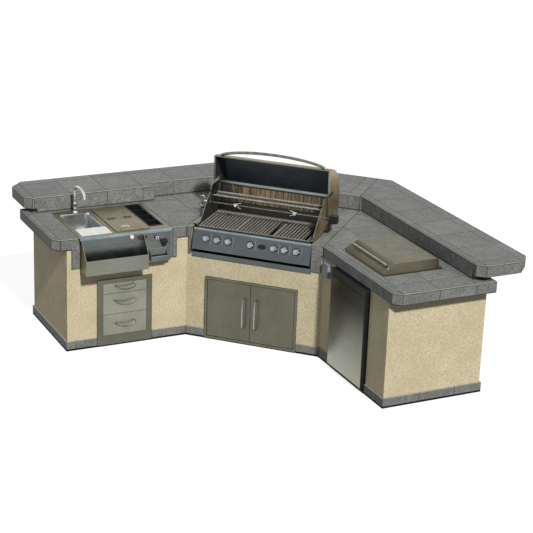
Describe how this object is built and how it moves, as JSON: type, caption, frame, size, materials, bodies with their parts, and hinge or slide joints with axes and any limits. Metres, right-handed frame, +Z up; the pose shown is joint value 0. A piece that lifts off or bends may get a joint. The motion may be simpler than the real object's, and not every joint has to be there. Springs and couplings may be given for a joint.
{
  "type": "outdoor kitchen island",
  "caption": "Angled tile and stucco outdoor kitchen island with a raised bar, hooded grill, drinks station, drawers, doors, side burner and fridge.",
  "frame": {"origin": "under the middle of the whole box, at floor level", "axes": "+X along the island from the drinks station to the fridge, +Y towards the raised bar, +Z up"},
  "size_m": [4.1358, 2.234, 1.4436],
  "materials": {
    "stucco": "fine sanded stucco",
    "tile": "matt slate-coloured tile",
    "steel": "brushed",
    "chrome": "polished",
    "cast_iron": "matt enamelled",
    "black_plastic": "matt",
    "white_plastic": "matt",
    "grey_plastic": "matt"
  },
  "bodies": {
    "island": {"station_body": "steel", "ice_lid_rear": "steel", "condiment_tray": "black_plastic", "faucet_body": "chrome", "towel_peg": "chrome", "bottle_opener": "cast_iron", "cap_catcher": "steel", "speed_rail": "steel", "drawer_frame": "steel", "burner_body": "steel", "burner_grate": "cast_iron", "fridge_cabinet": "black_plastic", "fridge_shelf": "chrome", "socket_plate": "grey_plastic", "firebox": "steel", "control_panel": "steel", "gas_burners": "steel", "grate_1": "cast_iron", "grate_2": "cast_iron", "grate_3": "cast_iron", "heat_plates": "steel", "warming_rack": "chrome", "rotisserie_motor": "black_plastic", "base_left": "stucco", "base_center": "stucco", "base_right": "stucco", "kick_inner_left": "tile", "kick_inner_right": "tile", "kick_outer_left": "tile", "kick_outer_right": "tile", "counter_left": "tile", "counter_center": "tile", "counter_right": "tile", "bar_left": "tile", "bar_center": "tile", "bar_right": "tile", "door_frame": "steel"},
    "hood": {"hood": "steel", "hood_handle": "chrome"},
    "spit": {"rotisserie_spit": "chrome"},
    "drip_tray": {"drip_tray": "steel"},
    "door_left": {"door_left": "steel"},
    "door_right": {"door_right": "steel"},
    "drawer_top": {"drawer_top": "steel"},
    "drawer_middle": {"drawer_middle": "steel"},
    "drawer_bottom": {"drawer_bottom": "steel"},
    "ice_lid_front": {"ice_lid_front": "steel"},
    "cutting_board": {"cutting_board": "white_plastic"},
    "faucet_spout": {"faucet_spout": "chrome"},
    "water_knob": {"water_knob": "white_plastic"},
    "knob_1": {"knob_1": "chrome"},
    "knob_2": {"knob_2": "chrome"},
    "knob_3": {"knob_3": "chrome"},
    "knob_4": {"knob_4": "chrome"},
    "knob_5": {"knob_5": "chrome"},
    "knob_6": {"knob_6": "chrome"},
    "knob_7": {"knob_7": "chrome"},
    "fridge_door": {"fridge_door": "steel"},
    "burner_cover": {"burner_cover": "steel"},
    "socket_cover": {"socket_cover": "grey_plastic"}
  },
  "joints": [
    {"name": "hood_hinge", "type": "hinge", "parent": "island", "child": "hood", "pos_m": [-0.03884, 0.13403, 0.985], "axis": [1, 0, 0], "range_deg": [0, 88]},
    {"name": "spit_turn", "type": "hinge", "parent": "island", "child": "spit", "pos_m": [-0.03884, -0.04897, 1.026], "axis": [1, 0, 0], "continuous": true},
    {"name": "drip_tray_slide", "type": "slide", "parent": "island", "child": "drip_tray", "axis": [0, -1, 0], "range_m": [0, 0.38]},
    {"name": "door_left_hinge", "type": "hinge", "parent": "island", "child": "door_left", "pos_m": [-0.37434, -0.36597, 0.26], "axis": [0, 0, -1], "range_deg": [0, 100]},
    {"name": "door_right_hinge", "type": "hinge", "parent": "island", "child": "door_right", "pos_m": [0.32866, -0.36597, 0.26], "axis": [0, 0, 1], "range_deg": [0, 100]},
    {"name": "drawer_top_slide", "type": "slide", "parent": "island", "child": "drawer_top", "axis": [0.7071, -0.7071, 0], "range_m": [0, 0.36]},
    {"name": "drawer_middle_slide", "type": "slide", "parent": "island", "child": "drawer_middle", "axis": [0.7071, -0.7071, 0], "range_m": [0, 0.36]},
    {"name": "drawer_bottom_slide", "type": "slide", "parent": "island", "child": "drawer_bottom", "axis": [0.7071, -0.7071, 0], "range_m": [0, 0.36]},
    {"name": "ice_lid_hinge", "type": "hinge", "parent": "island", "child": "ice_lid_front", "pos_m": [-1.10195, -0.45512, 0.9346], "axis": [-0.7071, -0.7071, 0], "range_deg": [0, 150]},
    {"name": "cutting_board_slide", "type": "slide", "parent": "island", "child": "cutting_board", "axis": [-0.7071, 0.7071, 0], "range_m": [0, 0.367]},
    {"name": "faucet_spout_swivel", "type": "hinge", "parent": "island", "child": "faucet_spout", "pos_m": [-1.48349, -0.45624, 0.974], "axis": [0, 0, 1], "range_deg": [-60, 60]},
    {"name": "water_knob_turn", "type": "hinge", "parent": "island", "child": "water_knob", "pos_m": [-0.87569, -0.73232, 0.89], "axis": [0.7071, -0.7071, 0], "range_deg": [0, 90]},
    {"name": "knob_1_turn", "type": "hinge", "parent": "island", "child": "knob_1", "pos_m": [-0.41222, -0.35485, 0.82708], "axis": [0, -0.9742, 0.2259], "range_deg": [0, 225]},
    {"name": "knob_2_turn", "type": "hinge", "parent": "island", "child": "knob_2", "pos_m": [-0.32108, -0.35485, 0.82708], "axis": [0, -0.9742, 0.2259], "range_deg": [0, 225]},
    {"name": "knob_3_turn", "type": "hinge", "parent": "island", "child": "knob_3", "pos_m": [-0.22896, -0.35485, 0.82708], "axis": [0, -0.9742, 0.2259], "range_deg": [0, 225]},
    {"name": "knob_4_turn", "type": "hinge", "parent": "island", "child": "knob_4", "pos_m": [-0.04668, -0.35485, 0.82708], "axis": [0, -0.9742, 0.2259], "range_deg": [0, 225]},
    {"name": "knob_5_turn", "type": "hinge", "parent": "island", "child": "knob_5", "pos_m": [0.14344, -0.35485, 0.82708], "axis": [0, -0.9742, 0.2259], "range_deg": [0, 225]},
    {"name": "knob_6_turn", "type": "hinge", "parent": "island", "child": "knob_6", "pos_m": [0.23262, -0.35485, 0.82708], "axis": [0, -0.9742, 0.2259], "range_deg": [0, 225]},
    {"name": "knob_7_turn", "type": "hinge", "parent": "island", "child": "knob_7", "pos_m": [0.32964, -0.35485, 0.82708], "axis": [0, -0.9742, 0.2259], "range_deg": [0, 225]},
    {"name": "fridge_door_hinge", "type": "hinge", "parent": "island", "child": "fridge_door", "pos_m": [1.04396, -0.88857, 0.4], "axis": [0, 0, 1], "range_deg": [0, 100]},
    {"name": "burner_cover_hinge", "type": "hinge", "parent": "island", "child": "burner_cover", "pos_m": [1.26974, -0.27106, 0.9283], "axis": [-0.7071, 0.7071, 0], "range_deg": [0, 92]},
    {"name": "socket_cover_hinge", "type": "hinge", "parent": "island", "child": "socket_cover", "pos_m": [0.60252, -0.42917, 0.797], "axis": [-0.7071, 0.7071, 0], "range_deg": [0, 110]}
  ]
}
